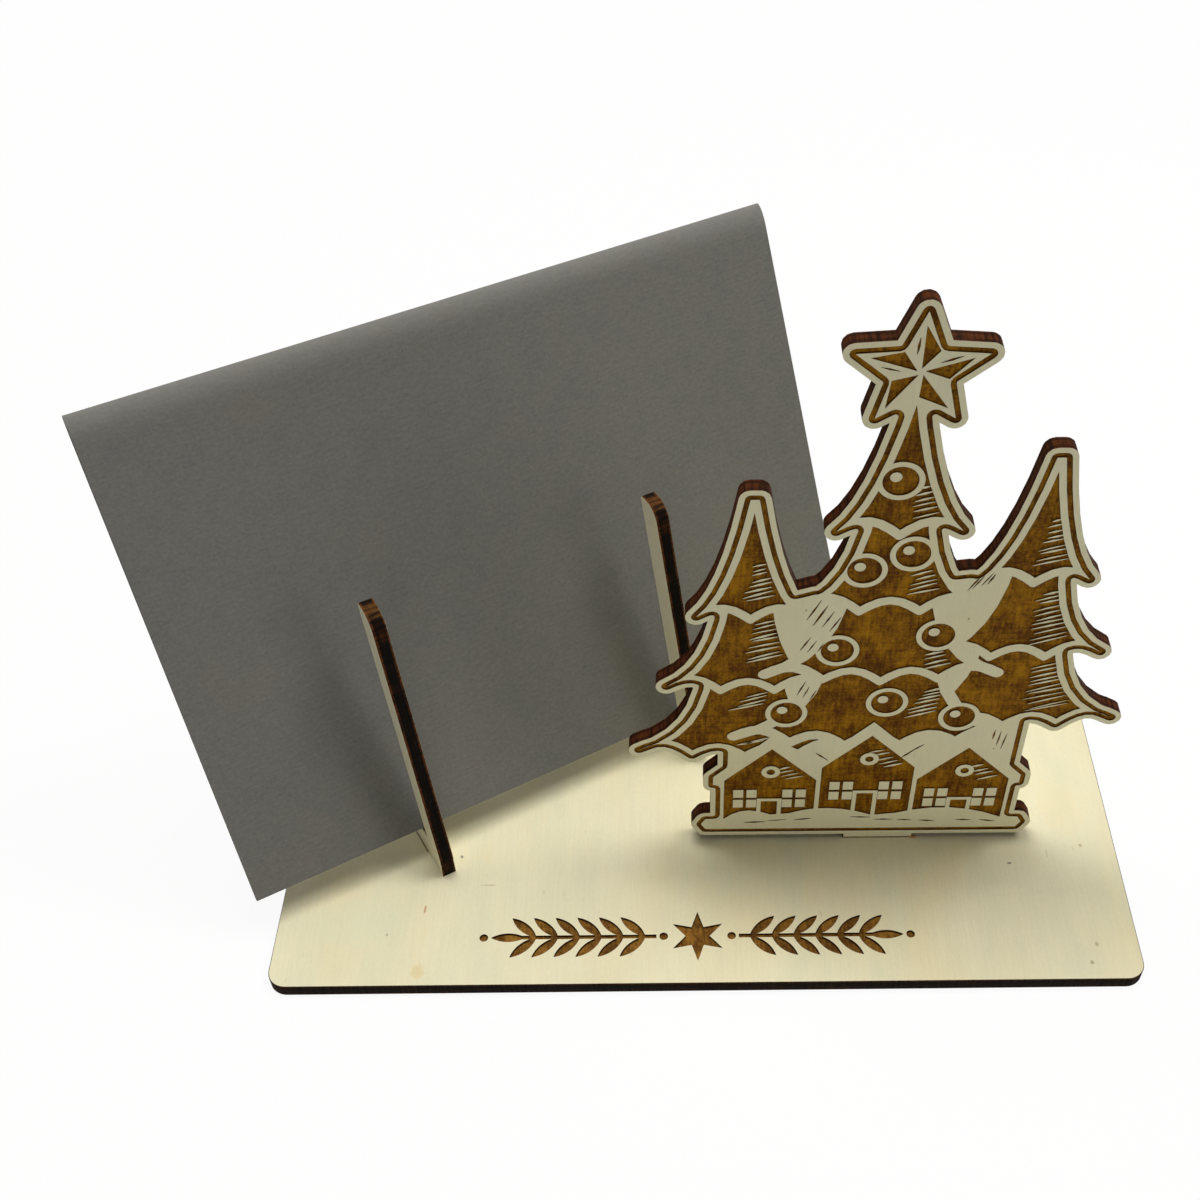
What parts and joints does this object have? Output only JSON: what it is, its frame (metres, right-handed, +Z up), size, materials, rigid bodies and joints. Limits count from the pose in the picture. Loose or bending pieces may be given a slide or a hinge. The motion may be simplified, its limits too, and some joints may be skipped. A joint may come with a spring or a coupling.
{
  "type": "gift card holder",
  "caption": "Plywood stand with a tabbed base plate, two slotted uprights that hold a folded card at a slant, and an engraved winter panel in front.",
  "frame": {"origin": "middle of the base plate's underside, which stands on the table", "axes": "+X to the right along the base plate's front edge, +Y from the front edge to the back, +Z up"},
  "size_m": [0.2065, 0.1304, 0.1406],
  "materials": {
    "base_ply": "unvarnished pale birch plywood with a charred cut edge and a deep brown engraving",
    "upright_ply": "unvarnished pale birch plywood with a charred cut edge",
    "panel_ply": "unvarnished pale birch plywood, golden-brown where it is engraved, with a charred cut edge",
    "card_paper": "matt mid-grey card"
  },
  "bodies": {
    "stand": {"base_plate": "base_ply", "left_upright": "upright_ply", "right_upright": "upright_ply", "front_panel": "panel_ply"},
    "card": {"folded_card": "card_paper"}
  },
  "joints": [
    {"name": "card_lift", "type": "slide", "parent": "stand", "child": "card", "axis": [-0.2113, 0.366, 0.9063], "range_m": [0, 0.066]}
  ]
}
